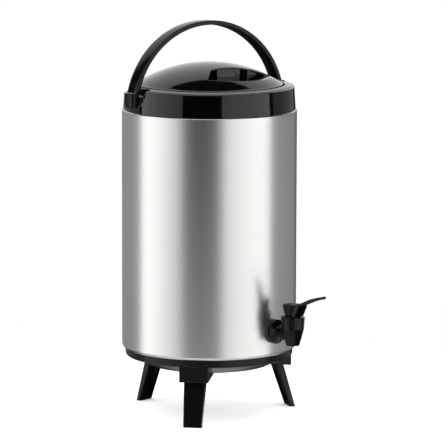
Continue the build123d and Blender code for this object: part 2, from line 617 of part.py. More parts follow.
def lid_cover():
    """Domed outer lid with skirt, bayonet lugs, screw bosses and the scooped grip."""
    break_z = DOME_CENTRE + sqrt(DOME_RADIUS**2 - DOME_BREAK**2)
    crown = DOME_RADIUS - LID_WALL
    inner_break = SKIRT_RADIUS - 2 * LID_WALL
    inner_z = DOME_CENTRE + sqrt(crown**2 - inner_break**2)
    edge_top = LID_EDGE_LOW + LID_EDGE_HEIGHT
    inner_skirt = SKIRT_RADIUS - LID_WALL
    half = inner_break / 2
    edges = [
        ThreePointArc(
            (0, CROWN_TOP),
            (DOME_BREAK / 2, DOME_CENTRE + sqrt(DOME_RADIUS**2 - DOME_BREAK**2 / 4)),
            (DOME_BREAK, break_z),
        ),
        TangentArc(
            (DOME_BREAK, break_z),
            (LID_RADIUS, edge_top),
            tangent=(break_z - DOME_CENTRE, -DOME_BREAK),
        ),
        Line((LID_RADIUS, edge_top), (LID_RADIUS, LID_EDGE_LOW)),
        Line((LID_RADIUS, LID_EDGE_LOW), (SKIRT_RADIUS, LID_EDGE_LOW)),
        Line((SKIRT_RADIUS, LID_EDGE_LOW), (SKIRT_RADIUS, SKIRT_BOTTOM)),
        Line((SKIRT_RADIUS, SKIRT_BOTTOM), (inner_skirt, SKIRT_BOTTOM)),
        Line((inner_skirt, SKIRT_BOTTOM), (inner_skirt, LID_EDGE_LOW)),
        Line((inner_skirt, LID_EDGE_LOW), (inner_break, inner_z)),
        ThreePointArc(
            (inner_break, inner_z),
            (half, DOME_CENTRE + sqrt(crown**2 - half**2)),
            (0, CROWN_TOP - LID_WALL),
        ),
        Line((0, CROWN_TOP - LID_WALL), (0, CROWN_TOP)),
    ]
    cover = revolve(Plane.XZ * make_face(edges), Axis.Z)
    inside = dome_solid(crown)
    cover += facing(GRIP_AZIMUTH) * grip_moulding() & dome_solid(DOME_RADIUS)
    lug_top = COLLAR_TOP - LUG_TOP_DROP - LUG_HEIGHT - MOVING_GAP
    lug_outer = LID_WELL_RADIUS - MOVING_GAP
    for index in range(LUG_COUNT):
        azimuth = LUG_AZIMUTH + 360.0 / LUG_COUNT * index
        cover += sector(SKIRT_RADIUS - 1, lug_outer, SKIRT_BOTTOM, lug_top, azimuth, LUG_SPAN)
    for x, y in lid_screw_points():
        boss = rod(LID_BOSS_RADIUS, (x, y, SKIRT_BOTTOM), (x, y, CROWN_TOP)) & inside
        cover += boss
        hole_end = SKIRT_BOTTOM + LID_SCREW_LENGTH
        cover -= rod(LID_SCREW_RADIUS, (x, y, SKIRT_BOTTOM - 1), (x, y, hole_end))
    return cover - facing(GRIP_AZIMUTH) * (scoop() + finger_hollows())


def lid_plug():
    """Inner pan of the lid, which reaches down into the liner's mouth."""
    top = SKIRT_BOTTOM - SEAT_GAP
    plug = turned(
        (0, PLUG_BOTTOM),
        (PLUG_RADIUS, PLUG_BOTTOM, PLUG_CORNER),
        (PLUG_RADIUS, top - PLUG_FLANGE),
        (SKIRT_RADIUS, top - PLUG_FLANGE),
        (SKIRT_RADIUS, top),
        (PLUG_RADIUS - PLUG_WALL, top),
        (PLUG_RADIUS - PLUG_WALL, PLUG_BOTTOM + PLUG_WALL, PLUG_CORNER - PLUG_WALL),
        (0, PLUG_BOTTOM + PLUG_WALL),
    )
    for x, y in lid_screw_points():
        plug += rod(LID_BOSS_RADIUS, (x, y, PLUG_BOTTOM + PLUG_WALL / 2), (x, y, top))
        plug -= rod(LID_SCREW_RADIUS + SEAT_GAP, (x, y, PLUG_BOTTOM - 1), (x, y, top + 1))
        recess = top - LID_SCREW_HEAD_HEIGHT * 2
        plug -= rod(LID_SCREW_HEAD_RADIUS + SEAT_GAP, (x, y, PLUG_BOTTOM - 1), (x, y, recess))
    return plug


def lid_screws():
    """Screws up through the plug into the cover's bosses."""
    seat = SKIRT_BOTTOM - SEAT_GAP - LID_SCREW_HEAD_HEIGHT * 2
    screws = []
    for x, y in lid_screw_points():
        screw = rod(LID_SCREW_RADIUS, (x, y, seat), (x, y, seat + LID_SCREW_LENGTH))
        screw += rod(LID_SCREW_HEAD_RADIUS, (x, y, seat - LID_SCREW_HEAD_HEIGHT), (x, y, seat))
        screws.append(screw)
    return Compound(children=screws)


def lid_foam():
    """Insulating insert between the plug and the dome."""
    radius = PLUG_RADIUS - PLUG_WALL - SEAT_GAP
    low = PLUG_BOTTOM + PLUG_WALL + SEAT_GAP
    corner = PLUG_CORNER - PLUG_WALL
    slab = turned((0, low), (radius, low, corner), (radius, CROWN_TOP), (0, CROWN_TOP))
    foam = slab & (Pos(0, 0, DOME_CENTRE) * Sphere(DOME_RADIUS - LID_WALL - SEAT_GAP))
    for x, y in lid_screw_points():
        foam -= rod(LID_BOSS_RADIUS + SEAT_GAP, (x, y, low - 1), (x, y, CROWN_TOP))
    return foam - facing(GRIP_AZIMUTH) * grip_moulding(SEAT_GAP)


def lid_seal():
    """Silicone ring under the lid's flange, on the liner's lip."""
    high = SKIRT_BOTTOM - SEAT_GAP - PLUG_FLANGE
    inner = PLUG_RADIUS + SEAT_GAP
    return turned(
        (inner, LINER_TOP + MOVING_GAP, 0.8),
        (inner + SEAL_WIDTH, LINER_TOP + MOVING_GAP, 0.8),
        (inner + SEAL_WIDTH, high),
        (inner, high),
    )


# Tap

def barrel_frame():
    """Place of the tap's barrel: its axis upright, level with the shank at zero."""
    return Pos(0, -TAP_REACH, TAP_Z)


def shank_turned(*corners):
    """Solid of revolution about the shank, from corners (distance from drum axis, radius)."""
    face = Plane.YZ * outline(*[(-corner[0], corner[1], *corner[2:]) for corner in corners])
    return Pos(0, 0, TAP_Z) * revolve(face, Axis.Y)


def tap_body():
    """Moulded tap: threaded shank, flange, neck and valve barrel."""
    face = DRUM_RADIUS + TAP_WASHER_THICKNESS
    inside = LINER_BORE - SHANK_INSIDE
    body = shank_turned(
        (inside, 0),
        (inside, SHANK_RADIUS),
        (face, SHANK_RADIUS),
        (face, FLANGE_RADIUS, FLANGE_EDGE),
        (face + FLANGE_THICKNESS, FLANGE_RADIUS, FLANGE_EDGE),
        (face + FLANGE_THICKNESS + FLANGE_CONE, NECK_RADIUS, NECK_ROUNDING),
        (TAP_REACH, NECK_RADIUS),
        (TAP_REACH, 0),
    )
    barrel = turned(
        (0, SPOUT_LOW),
        (SPOUT_RADIUS, SPOUT_LOW, SPOUT_EDGE),
        (BARREL_THROAT_RADIUS, BARREL_THROAT, BARREL_BEND),
        (BARREL_WAIST_RADIUS, BARREL_WAIST, BARREL_BEND),
        (BARREL_RADIUS, BARREL_TOP, BARREL_EDGE),
        (0, BARREL_TOP),
    )
    body += barrel_frame() * barrel
    chamber = turned(
        (0, SPOUT_LOW - 1),
        (OUTLET_RADIUS, SPOUT_LOW - 1),
        (OUTLET_RADIUS, CHAMBER_FLOOR),
        (CHAMBER_RADIUS, CHAMBER_FLOOR),
        (CHAMBER_RADIUS, BONNET_SEAT),
        (BONNET_RADIUS, BONNET_SEAT),
        (BONNET_RADIUS, BARREL_TOP + 1),
        (0, BARREL_TOP + 1),
    )
    body -= barrel_frame() * chamber
    return body - rod(SHANK_BORE, (0, -inside + 1, TAP_Z), (0, -TAP_REACH, TAP_Z))


def tap_washer():
    """Rubber washer between the tap's flange and the curved shell."""
    face = DRUM_RADIUS + TAP_WASHER_THICKNESS - SEAT_GAP
    start = DRUM_RADIUS - TAP_WASHER_THICKNESS
    ring = rod(TAP_WASHER_RADIUS, (0, -start, TAP_Z), (0, -face, TAP_Z))
    ring -= tap_hole(SHANK_RADIUS + SEAT_GAP)
    drum = Pos(0, 0, TAP_Z) * Cylinder(DRUM_RADIUS + SEAT_GAP, 4 * TAP_WASHER_RADIUS)
    return ring - drum


def tap_inner_washer():
    """Silicone washer between the liner and the tap's nut."""
    start = LINER_BORE - TAP_WASHER_THICKNESS
    ring = rod(NUT_ACROSS_FLATS / 2, (0, -start, TAP_Z), (0, -DRUM_RADIUS, TAP_Z))
    ring -= tap_hole(SHANK_RADIUS + SEAT_GAP)
    return ring & (Pos(0, 0, TAP_Z) * Cylinder(LINER_BORE - SEAT_GAP, 4 * NUT_ACROSS_FLATS))


def tap_nut():
    """Hexagon nut that clamps the tap from inside the liner."""
    start = LINER_BORE - TAP_WASHER_THICKNESS - SEAT_GAP
    plane = Plane(origin=(0, -start, TAP_Z), x_dir=(1, 0, 0), z_dir=(0, 1, 0))
    hexagon = RegularPolygon(NUT_ACROSS_FLATS / 2, 6, major_radius=False)
    return extrude(plane * (hexagon - Circle(SHANK_RADIUS + SEAT_GAP)), NUT_THICKNESS)


def tap_bonnet():
    """Cap in the barrel's top that guides the stem and carries the lever's heel."""
    guide = STEM_RADIUS + PIVOT_GAP
    rim = BONNET_RADIUS - SEAT_GAP
    return barrel_frame() * turned(
        (guide, BONNET_SEAT + SEAT_GAP),
        (rim, BONNET_SEAT + SEAT_GAP),
        (rim, BONNET_RIM, BONNET_EDGE),
        (BONNET_NECK_RADIUS, BONNET_RIM),
        (BONNET_NECK_RADIUS, BONNET_TOP, BONNET_EDGE),
        (guide, BONNET_TOP),
    )


def cup_floor():
    """Underside of the seat cup, just clear of the outlet's seat."""
    return CHAMBER_FLOOR + MOVING_GAP


def tap_stem():
    """Valve stem with the flat head that the lever lifts."""
    low = cup_floor() + CUP_THICKNESS + CUP_NECK - STEM_SOCKET
    stem = rod(STEM_RADIUS, (0, 0, low), (0, 0, STEM_HEAD_LOW + 1))
    height = STEM_HEAD_TOP - STEM_HEAD_LOW
    head = Pos(0, 0, STEM_HEAD_LOW + height / 2) * Box(STEM_HEAD_WIDTH, STEM_HEAD_LENGTH, height)
    head = fillet(head.edges().filter_by(Axis.X), STEM_HEAD_ROUNDING)
    stem += head
    half = STEM_HEAD_WIDTH
    stem -= rod(LEVER_PIN_RADIUS, (-half, 0, LEVER_PIN_HEIGHT), (half, 0, LEVER_PIN_HEIGHT))
    return barrel_frame() * stem


def seat_cup():
    """Silicone cup that closes the outlet."""
    low = cup_floor()
    shoulder = low + CUP_THICKNESS
    top = shoulder + CUP_NECK
    return barrel_frame() * turned(
        (0, low),
        (CUP_RADIUS, low, CUP_EDGE),
        (CUP_RADIUS, shoulder, CUP_EDGE),
        (CUP_NECK_RADIUS, shoulder),
        (CUP_NECK_RADIUS, top),
        (STEM_RADIUS + PIVOT_GAP, top),
        (STEM_RADIUS + PIVOT_GAP, top - STEM_SOCKET - SEAT_GAP),
        (0, top - STEM_SOCKET - SEAT_GAP),
    )


def blade_side():
    """Side view of the thumb blade: level over the hub, then a climb that eases at the tip."""
    thick = BLADE_THICKNESS
    path = [
        (HUB_FOOT_RADIUS / 2, HUB_TOP + BLADE_ROOT_RISE),
        (-BLADE_KNEE, HUB_TOP + BLADE_KNEE_RISE),
        (-BLADE_CLIMB, HUB_TOP + BLADE_CLIMB_RISE),
        (-BLADE_LENGTH, HUB_TOP + BLADE_RISE),
    ]
    under = [(y, z - thick) for y, z in reversed(path)]
    return make_face([
        Spline(*path, tangents=((-1, 0), (-1, 0.2))),
        Line(path[-1], under[0]),
        Spline(*under, tangents=((1, -0.2), (1, 0))),
        Line(under[-1], path[0]),
    ])


def tap_lever():
    """Lever with a forked hub over the stem's head, a gusset and a curved thumb blade."""
    hub = turned(
        (0, LEVER_FOOT),
        (HUB_FOOT_RADIUS, LEVER_FOOT, HUB_ROUNDING),
        (HUB_HEAD_RADIUS, HUB_TOP, HUB_ROUNDING),
        (0, HUB_TOP),
    )
    half = BLADE_WIDTH / 2
    gusset_side = outline(
        (0, LEVER_FOOT),
        (0, HUB_TOP),
        (-GUSSET_REACH, HUB_TOP),
        (-GUSSET_FOOT, LEVER_FOOT),
    )
    gusset = extrude(Plane.YZ * gusset_side, GUSSET_WIDTH / 2, both=True)
    blade = extrude(Plane.YZ * blade_side(), half, both=True)
    root = HUB_FOOT_RADIUS / 2
    plan = outline(
        (-half, 2 * root, root),
        (-half, -BLADE_LENGTH, BLADE_TIP),
        (half, -BLADE_LENGTH, BLADE_TIP),
        (half, 2 * root, root),
    )
    lever = hub + gusset + (blade & extrude(plan, HUB_TOP + 2 * BLADE_RISE))
    mouth_height = FORK_TOP - LEVER_FOOT + 1
    mouth = Box(FORK_MOUTH, 2 * GUSSET_REACH, mouth_height, align=(Align.CENTER, Align.MAX, Align.MAX))
    lever -= Pos(0, -FORK_ROOT, FORK_TOP) * mouth
    slot_height = LEVER_SLOT_TOP - LEVER_FOOT + 1
    slot = Box(STEM_HEAD_WIDTH + 2 * MOVING_GAP, LEVER_SLOT_LENGTH, slot_height)
    lever -= Pos(0, 0, LEVER_SLOT_TOP - slot_height / 2) * slot
    reach = HUB_HEAD_RADIUS
    start, end = (-reach, 0, LEVER_PIN_HEIGHT), (reach, 0, LEVER_PIN_HEIGHT)
    return barrel_frame() * (lever - rod(LEVER_PIN_RADIUS + PIVOT_GAP, start, end))


def lever_pin():
    """Cross pin through the lever's fork and the stem's head."""
    share = (LEVER_PIN_HEIGHT - LEVER_FOOT) / (HUB_TOP - LEVER_FOOT)
    half = HUB_FOOT_RADIUS + (HUB_HEAD_RADIUS - HUB_FOOT_RADIUS) * share - LEVER_PIN_RADIUS / 2
    start, end = (-half, 0, LEVER_PIN_HEIGHT), (half, 0, LEVER_PIN_HEIGHT)
    return barrel_frame() * rod(LEVER_PIN_RADIUS, start, end)


def pieces():
    """Every piece of the dispenser, by node name."""
    built = {
        "outer_shell": outer_shell(),
        "foam_jacket": foam_jacket(),
        "inner_liner": inner_liner(),
        "top_collar": top_collar(),
        "base_pan": base_pan(),
        "leg_screws": leg_screws(),
        "carry_handle": carry_handle(),
        "handle_pin_right": pivot_pin(1),
        "handle_pin_left": pivot_pin(-1),
        "lid_cover": lid_cover(),
        "lid_foam": lid_foam(),
        "lid_plug": lid_plug(),
        "lid_screws": lid_screws(),
        "lid_seal": lid_seal(),
        "tap_body": tap_body(),
        "tap_washer": tap_washer(),
        "tap_inner_washer": tap_inner_washer(),
        "tap_nut": tap_nut(),
        "tap_bonnet": tap_bonnet(),
        "tap_stem": tap_stem(),
        "seat_cup": seat_cup(),
        "tap_lever": tap_lever(),
        "lever_pin": lever_pin(),
    }
    for name, azimuth in zip(LEG_NAMES, LEG_AZIMUTHS):
        built[name] = facing(azimuth) * leg()
    return built


def main():
    """Write one STEP file for each piece."""
    os.makedirs("parts", exist_ok=True)
    for name, piece in pieces().items():
        export_step(piece, os.path.join("parts", name + ".step"))


if __name__ == "__main__":
    main()
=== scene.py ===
"""Looks for an insulated steel beverage dispenser: finishes, two pieces, studio and camera.

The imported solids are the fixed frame. Most keep their shape and take a finish here. The collar and
the carrying handle are shown by pieces modelled here, which ride on the bodies that carry them.
"""

from __future__ import annotations

import json
import logging
import math
from dataclasses import dataclass
from enum import Enum
from typing import Any, Dict, List, Optional, Sequence, Tuple

import bmesh
import bpy
from mathutils import Matrix, Vector

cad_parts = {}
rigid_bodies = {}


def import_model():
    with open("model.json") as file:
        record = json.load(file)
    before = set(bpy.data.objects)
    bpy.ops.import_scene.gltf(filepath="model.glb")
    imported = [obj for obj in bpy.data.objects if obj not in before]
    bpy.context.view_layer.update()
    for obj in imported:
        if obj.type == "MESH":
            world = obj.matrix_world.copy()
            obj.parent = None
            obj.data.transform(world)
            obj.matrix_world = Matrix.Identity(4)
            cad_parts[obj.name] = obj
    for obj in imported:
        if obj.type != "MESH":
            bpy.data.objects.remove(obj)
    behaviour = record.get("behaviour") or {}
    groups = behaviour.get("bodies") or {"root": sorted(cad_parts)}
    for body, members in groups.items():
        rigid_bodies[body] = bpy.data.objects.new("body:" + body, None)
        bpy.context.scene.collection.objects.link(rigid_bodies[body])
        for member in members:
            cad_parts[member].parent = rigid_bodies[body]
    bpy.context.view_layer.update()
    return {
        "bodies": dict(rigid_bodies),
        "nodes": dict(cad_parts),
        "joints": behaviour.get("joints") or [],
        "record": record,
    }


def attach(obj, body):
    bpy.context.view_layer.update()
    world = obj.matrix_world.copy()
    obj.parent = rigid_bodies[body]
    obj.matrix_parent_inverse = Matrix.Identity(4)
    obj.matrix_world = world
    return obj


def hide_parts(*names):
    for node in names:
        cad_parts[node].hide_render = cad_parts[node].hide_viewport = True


LOG = logging.getLogger("dispenser")
MM = 0.001
IMAGE_PIXELS = 448
WHITE = "FFFFFF"
# Metres below which two points, or two heights, count as the same.
TOUCH = 1e-6

# Length of a brushed mark, in widths of the mark.
MARK_STRETCH = 60.0
# The noise that draws the marks, and the part of its range that spreads the roughness.
GRAIN_DETAIL = 3.0
GRAIN_ROUGHNESS = 0.6
GRAIN_RANGE = (0.25, 0.75)
# Detail of the slow change of colour.
DRIFT_DETAIL = 2.0
# Least roughness, strength of the marks' relief and samples for rounded edges.
SMOOTHEST = 0.02
BUMP_STRENGTH = 0.35
EDGE_SAMPLES = 8
# Metres that red, green and blue travel inside a milky plastic.
SOAK_RADIUS = (0.004, 0.003, 0.002)

Colour = Tuple[float, float, float, float]
Span = Tuple[float, float]
Node = bpy.types.Node


class Grain(Enum):
    """Way that a surface's fine marks run."""

    ROUND = "round"
    UPRIGHT = "upright"
    SPECKLED = "speckled"


def linear(code: str) -> Colour:
    """Turn an sRGB hex value into a linear colour, by the curve of the sRGB standard.

    Args:
        code: six hex digits, with or without a leading hash.

    Returns:
        Linear red, green, blue and an alpha of one.
    """
    digits = code.lstrip("#")
    channels = []
    for start in (0, 2, 4):
        value = int(digits[start:start + 2], 16) / 255.0
        channels.append(value / 12.92 if value <= 0.04045 else ((value + 0.055) / 1.055) ** 2.4)
    return channels[0], channels[1], channels[2], 1.0


def add_node(tree: bpy.types.NodeTree, kind: str, settings: Optional[Dict[str, Any]] = None,
             sockets: Optional[Dict[Any, Any]] = None) -> Node:
    """Add a node with its settings, socket values and links.

    Args:
        tree: node tree that gets the node.
        kind: node type.
        settings: properties of the node itself.
        sockets: input name or index, to a value or to an output socket to link from.

    Returns:
        The new node.
    """
    node = tree.nodes.new(kind)
    for name, value in (settings or {}).items():
        setattr(node, name, value)
    for name, value in (sockets or {}).items():
        if isinstance(value, bpy.types.NodeSocket):
            tree.links.new(value, node.inputs[name])
        else:
            node.inputs[name].default_value = value
    return node


@dataclass(frozen=True)
class Finish:
    """A surface as it was made, with its colour and the size of its marks.

    Args:
        name: material's name.
        colour: sRGB hex of the clean surface.
        shade: sRGB hex that the colour drifts towards.
        roughness: mean roughness.
        spread: how far the roughness drifts.
        grain_mm: width of one mark.
        bump_mm: depth of the marks.
        drift_mm: size of the slow change of colour.
        grain: way that the marks run.
        metallic: 0 or 1.
        ior: refractive index of a non-metal.
        subsurface: share of light that soaks in before it leaves.
        gloss: strength of a non-metal's reflections, 0.5 being the usual.
        edge_mm: rounding that the eye sees along its edges.
    """

    name: str
    colour: str
    shade: str
    roughness: float
    spread: float
    grain_mm: float
    bump_mm: float
    drift_mm: float
    grain: Grain = Grain.SPECKLED
    metallic: float = 0.0
    ior: float = 1.5
    subsurface: float = 0.0
    gloss: float = 0.5
    edge_mm: float = 0.0

    def grain_scale(self) -> Tuple[float, float, float]:
        """Stretch of the grain along each axis, from the mark's width.

        Returns:
            Marks per metre along X, Y and Z.
        """
        fine = 1.0 / (self.grain_mm * MM)
        long = fine / MARK_STRETCH
        if self.grain is Grain.ROUND:
            return long, long, fine
        if self.grain is Grain.UPRIGHT:
            return fine, fine, long
        return fine, fine, fine

    def build(self) -> bpy.types.Material:
        """Make the node material.

        Returns:
            The material, ready to assign.
        """
        material = bpy.data.materials.new(self.name)
        material.use_nodes = True
        tree = material.node_tree
        tree.nodes.clear()
        place = add_node(tree, "ShaderNodeTexCoord")
        stretched = add_node(tree, "ShaderNodeMapping", sockets={
            "Vector": place.outputs["Object"], "Scale": self.grain_scale()})
        grain = add_node(tree, "ShaderNodeTexNoise", sockets={
            "Vector": stretched.outputs["Vector"], "Scale": 1.0,
            "Detail": GRAIN_DETAIL, "Roughness": GRAIN_ROUGHNESS})
        drift = add_node(tree, "ShaderNodeTexNoise", sockets={
            "Vector": place.outputs["Object"], "Scale": 1.0 / (self.drift_mm * MM),
            "Detail": DRIFT_DETAIL})
        mixed = add_node(tree, "ShaderNodeMath", {"operation": "MULTIPLY"}, {
            0: grain.outputs["Fac"], 1: drift.outputs["Fac"]})
        tint = add_node(tree, "ShaderNodeMix", {"data_type": "RGBA"}, {
            "Factor": mixed.outputs[0], 6: linear(self.colour), 7: linear(self.shade)})
        rough = add_node(tree, "ShaderNodeMapRange", sockets={
            "Value": grain.outputs["Fac"], "From Min": GRAIN_RANGE[0], "From Max": GRAIN_RANGE[1],
            "To Min": max(SMOOTHEST, self.roughness - self.spread),
            "To Max": self.roughness + self.spread})
        bump = add_node(tree, "ShaderNodeBump", sockets={
            "Height": grain.outputs["Fac"], "Strength": BUMP_STRENGTH,
            "Distance": self.bump_mm * MM})
        if self.edge_mm > 0:
            eased = add_node(tree, "ShaderNodeBevel", {"samples": EDGE_SAMPLES}, {
                "Radius": self.edge_mm * MM})
            tree.links.new(eased.outputs["Normal"], bump.inputs["Normal"])
        shader = add_node(tree, "ShaderNodeBsdfPrincipled", sockets={
            "Base Color": tint.outputs[2], "Roughness": rough.outputs["Result"],
            "Normal": bump.outputs["Normal"], "Metallic": self.metallic, "IOR": self.ior,
            "Specular IOR Level": self.gloss})
        if self.subsurface > 0:
            shader.inputs["Subsurface Weight"].default_value = self.subsurface
            shader.inputs["Subsurface Radius"].default_value = SOAK_RADIUS
        add_node(tree, "ShaderNodeOutputMaterial", sockets={"Surface": shader.outputs["BSDF"]})
        return material


# Stainless sheet, belt-brushed round the drum: fine level scratches under soft upright bands.
# Real scratches are about 0.1 mm; they are drawn at 0.5 mm so that they show.
BRUSHED_STEEL = Finish(
    "brushed_stainless_steel", "CECECC", "C4C4C2", roughness=0.31, spread=0.03,
    grain_mm=0.5, bump_mm=0.003, drift_mm=90.0, grain=Grain.ROUND, metallic=1.0)
# Stainless sheet drawn into a pot: faint upright draw marks.
DRAWN_STEEL = Finish(
    "drawn_stainless_steel", "C6C8CA", "AFB2B5", roughness=0.26, spread=0.05,
    grain_mm=0.8, bump_mm=0.01, drift_mm=70.0, grain=Grain.UPRIGHT, metallic=1.0)
# Polished ABS moulding: deep black with mirror-like panels and a trace of handling haze.
GLOSS_ABS = Finish(
    "polished_black_abs", "010101", "030303", roughness=0.07, spread=0.02,
    grain_mm=3.0, bump_mm=0.002, drift_mm=45.0, gloss=0.4, edge_mm=1.2)
# Polypropylene from a fine-textured mould: satin black with a soft broad sheen.
SATIN_PP = Finish(
    "satin_black_polypropylene", "040404", "070707", roughness=0.26, spread=0.04,
    grain_mm=0.8, bump_mm=0.008, drift_mm=30.0, ior=1.49, gloss=0.2, edge_mm=0.8)
# Polypropylene from a polished mould: black, with clear but slightly soft reflections.
SMOOTH_PP = Finish(
    "smooth_black_polypropylene", "030303", "060606", roughness=0.16, spread=0.03,
    grain_mm=1.5, bump_mm=0.004, drift_mm=35.0, ior=1.49, gloss=0.2, edge_mm=0.6)
# Undyed food-grade polypropylene: milky white, slightly waxy.
NATURAL_PP = Finish(
    "natural_polypropylene", "E4E4DF", "D8D8D0", roughness=0.42, spread=0.05,
    grain_mm=1.0, bump_mm=0.02, drift_mm=40.0, ior=1.49, subsurface=0.15)
# Rigid polyurethane foam: pale yellow with small open cells.
PU_FOAM = Finish(
    "rigid_polyurethane_foam", "E6D8AE", "CDB985", roughness=0.85, spread=0.08,
    grain_mm=1.6, bump_mm=0.30, drift_mm=60.0)
# Moulded silicone: cloudy, soft to the eye.
SILICONE = Finish(
    "moulded_silicone", "DCDBD5", "C9C8C1", roughness=0.48, spread=0.06,
    grain_mm=1.2, bump_mm=0.02, drift_mm=25.0, ior=1.41, subsurface=0.3)
# Carbon-filled rubber: dull black.
RUBBER = Finish(
    "black_nitrile_rubber", "17181A", "222325", roughness=0.68, spread=0.08,
    grain_mm=0.7, bump_mm=0.03, drift_mm=20.0, ior=1.52)
# Turned stainless hardware: bright, with fine tool marks.
BRIGHT_STEEL = Finish(
    "turned_stainless_steel", "CFD0D2", "BBBDC0", roughness=0.2, spread=0.05,
    grain_mm=0.6, bump_mm=0.01, drift_mm=12.0, metallic=1.0)

SLOT_FINISHES: Dict[str, Finish] = {
    "brushed_steel": BRUSHED_STEEL,
    "liner_steel": DRAWN_STEEL,
    "gloss_black": GLOSS_ABS,
    "satin_black": SATIN_PP,
    "white_polymer": NATURAL_PP,
    "foam": PU_FOAM,
    "silicone": SILICONE,
    "black_rubber": RUBBER,
    "hardware_steel": BRIGHT_STEEL,
}

# Solids whose finish differs from the one of their slot.
NODE_FINISHES: Dict[str, Finish] = {
    "base_pan": SATIN_PP,
    "tap_body": SMOOTH_PP,
}


class Palette:
    """Builds each finish once and hands it out."""

    def __init__(self) -> None:
        """Start with no material built."""
        self.made: Dict[str, bpy.types.Material] = {}

    def material(self, finish: Finish) -> bpy.types.Material:
        """Material of a finish.

        Args:
            finish: the surface that is wanted.

        Returns:
            Its material, built on first use.
        """
        if finish.name not in self.made:
            self.made[finish.name] = finish.build()
        return self.made[finish.name]


@dataclass
class Dispenser:
    """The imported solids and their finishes.

    Args:
        frame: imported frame.
        palette: finishes.
    """

    frame: Dict[str, Any]
    palette: Palette

    def dress(self) -> None:
        """Give each solid its own finish, or the one of its slot."""
        for part in self.frame["record"]["subparts"]:
            node = part["node"]
            solid = self.frame["nodes"][node]
            finish = NODE_FINISHES.get(node, SLOT_FINISHES[part["material_slot"]])
            solid.data.materials.clear()
            solid.data.materials.append(self.palette.material(finish))
            LOG.info("dressed %s as %s", node, finish.name)


def stand_in(shape: bmesh.types.BMesh, name: str, node: str, body: str,
             materials: List[bpy.types.Material]) -> bpy.types.Object:
    """Turn a finished shape into a piece that stands for a solid.

    Args:
        shape: closed shape in the part's frame, freed here.
        name: piece's name.
        node: solid that it replaces.
        body: body that carries it.
        materials: its finishes, in the order of the faces' material numbers.

    Returns:
        The piece, riding on its body.
    """
    mesh = bpy.data.meshes.new(name)
    shape.to_mesh(mesh)
    shape.free()
    mesh.shade_smooth()
    for material in materials:
        mesh.materials.append(material)
    piece = bpy.data.objects.new(name, mesh)
    bpy.context.scene.collection.objects.link(piece)
    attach(piece, body)
    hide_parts(node)
    LOG.info("modelled %s with %d faces", name, len(mesh.polygons))
    return piece


def ease(share: float) -> float:
    """Smooth step from 0 to 1 over a share from 0 to 1."""
    held = min(max(share, 0.0), 1.0)
    return held * held * (3.0 - 2.0 * held)


def crease(shape: bmesh.types.BMesh, edges: List[bmesh.types.BMEdge], turn: float) -> None:
    """Keep some edges of a shape sharp and smooth the rest.

    Args:
        shape: shape to mark.
        edges: edges that may be sharp.
        turn: degrees between two faces from which such an edge is sharp.
    """
    for edge in shape.edges:
        edge.smooth = True
    for edge in edges:
        edge.smooth = not edge.is_manifold or edge.calc_face_angle() < math.radians(turn)


def rectangle(shape: bmesh.types.BMesh, size: Tuple[float, float]) -> List[bmesh.types.BMVert]:
    """Add a flat rectangle about the origin, in X and Y.

    Args:
        shape: shape that gets it.
        size: its width and depth, in the shape's units.

    Returns:
        Its corners.
    """
    corners = bmesh.ops.create_grid(shape, x_segments=1, y_segments=1, size=0.5)["verts"]
    bmesh.ops.scale(shape, vec=(size[0], size[1], 1.0), verts=corners)
    return corners


def round_off(shape: bmesh.types.BMesh, edges: List[bmesh.types.BMEdge], radius: float,
              segments: int, clamp: bool = False) -> None:
    """Round some edges of a shape.

    Args:
        shape: shape to change.
        edges: edges to round.
        radius: how far the rounding reaches, metres.
        segments: faces across the rounding.
        clamp: True to stop roundings where they would meet.
    """
    bmesh.ops.bevel(shape, geom=edges, offset=radius, offset_type="OFFSET", segments=segments,
                    profile=0.5, affect="EDGES", material=-1, clamp_overlap=clamp)


